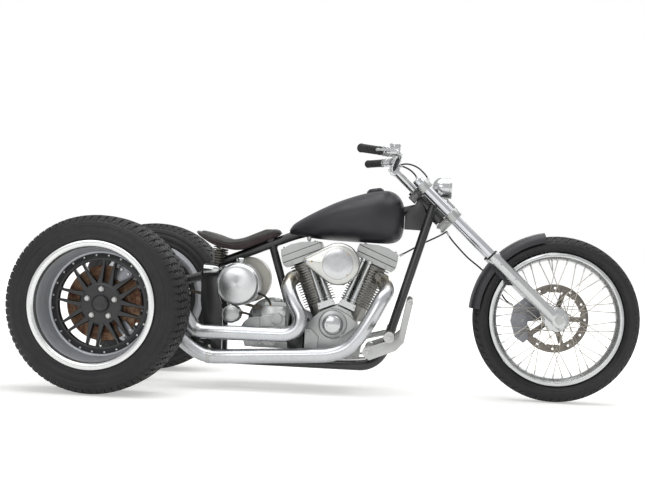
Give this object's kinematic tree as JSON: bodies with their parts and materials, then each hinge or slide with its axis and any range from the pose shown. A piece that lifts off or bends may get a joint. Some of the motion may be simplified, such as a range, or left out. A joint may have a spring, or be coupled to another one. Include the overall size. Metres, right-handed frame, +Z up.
{
  "type": "motorized trike",
  "caption": "Low custom motor trike with a raked fork, spoked front wheel, V-twin engine, sprung saddle and wide rear wheels on a solid axle.",
  "frame": {"origin": "on the floor, at the middle of the whole vehicle's box", "axes": "+X forward, +Y to the rider's left, +Z up"},
  "size_m": [2.521, 1.262, 1.042],
  "materials": {
    "frame_black": "satin black paint",
    "tank_black": "matte black paint",
    "face_black": "satin black powder coat",
    "fender_black": "satin black paint",
    "seat_leather": "worn dark brown leather",
    "tyre_rubber": "moulded rubber",
    "grip_rubber": "matte rubber",
    "cable_black": "satin sheath",
    "engine_alloy": "satin cast",
    "fin_alloy": "machined fins",
    "polished_alloy": "polished",
    "brushed_alloy": "satin turned",
    "rim_alloy": "turned barrel, polished lip",
    "fork_chrome": "hard chrome",
    "pipe_steel": "brushed and sealed",
    "spoke_steel": "drawn steel",
    "disc_steel": "ground steel",
    "rotor_rust": "browned iron",
    "chain_steel": "oiled steel",
    "drum_cream": "satin cream",
    "caliper_alloy": "cast",
    "spring_steel": "sprung wire",
    "bulb_steel": "spun"
  },
  "bodies": {
    "chassis": {"head_tube": "frame_black", "neck_gusset": "frame_black", "backbone": "frame_black", "downtubes": "frame_black", "seat_tube": "frame_black", "lower_rails": "frame_black", "cross_members": "frame_black", "frame_legs": "frame_black", "axle_arms": "frame_black", "axle_housing": "frame_black", "final_drive": "chain_steel", "rear_calipers": "caliper_alloy", "fuel_tank": "tank_black", "fuel_cap": "tank_black", "seat": "seat_leather", "seat_springs": "spring_steel", "oil_tank": "brushed_alloy", "oil_filter": "brushed_alloy", "electrics_drum": "drum_cream", "crankcase": "engine_alloy", "cam_cover": "engine_alloy", "cylinders": "fin_alloy", "rocker_boxes": "engine_alloy", "pushrod_tubes": "polished_alloy", "air_cleaner": "brushed_alloy", "gearbox": "engine_alloy", "primary_case": "polished_alloy", "exhaust_front": "pipe_steel", "exhaust_rear": "pipe_steel", "foot_controls": "polished_alloy", "tail_lamps": "bulb_steel", "control_cable": "cable_black"},
    "front_end": {"lower_clamp": "engine_alloy", "upper_clamp": "engine_alloy", "fork_tubes": "fork_chrome", "fork_lowers": "brushed_alloy", "risers": "polished_alloy", "handlebar": "fork_chrome", "grips": "grip_rubber", "hand_controls": "polished_alloy", "headlight": "bulb_steel", "front_fender": "fender_black", "front_caliper": "caliper_alloy", "front_axle": "polished_alloy", "brake_hose": "cable_black", "bar_cables": "cable_black"},
    "front_wheel": {"front_tyre": "tyre_rubber", "front_rim": "polished_alloy", "front_hub": "polished_alloy", "front_spokes": "spoke_steel", "front_disc": "disc_steel"},
    "rear_wheel_right": {"rear_tyre_right": "tyre_rubber", "rear_rim_right": "rim_alloy", "rear_face_right": "face_black", "rear_hub_right": "rotor_rust"},
    "rear_wheel_left": {"rear_tyre_left": "tyre_rubber", "rear_rim_left": "rim_alloy", "rear_face_left": "face_black", "rear_hub_left": "rotor_rust"}
  },
  "joints": [
    {"name": "steering", "type": "hinge", "parent": "chassis", "child": "front_end", "pos_m": [0.87572, 0, 0.3127], "axis": [-0.7314, 0, 0.682], "range_deg": [-30, 30]},
    {"name": "front_wheel_spin", "type": "hinge", "parent": "front_end", "child": "front_wheel", "pos_m": [0.9105, 0, 0.35], "axis": [0, 1, 0], "continuous": true},
    {"name": "rear_wheel_right_spin", "type": "hinge", "parent": "chassis", "child": "rear_wheel_right", "pos_m": [-0.9145, -0.499, 0.346], "axis": [0, 1, 0], "continuous": true},
    {"name": "rear_wheel_left_spin", "type": "hinge", "parent": "chassis", "child": "rear_wheel_left", "pos_m": [-0.9145, 0.499, 0.346], "axis": [0, 1, 0], "continuous": true}
  ]
}
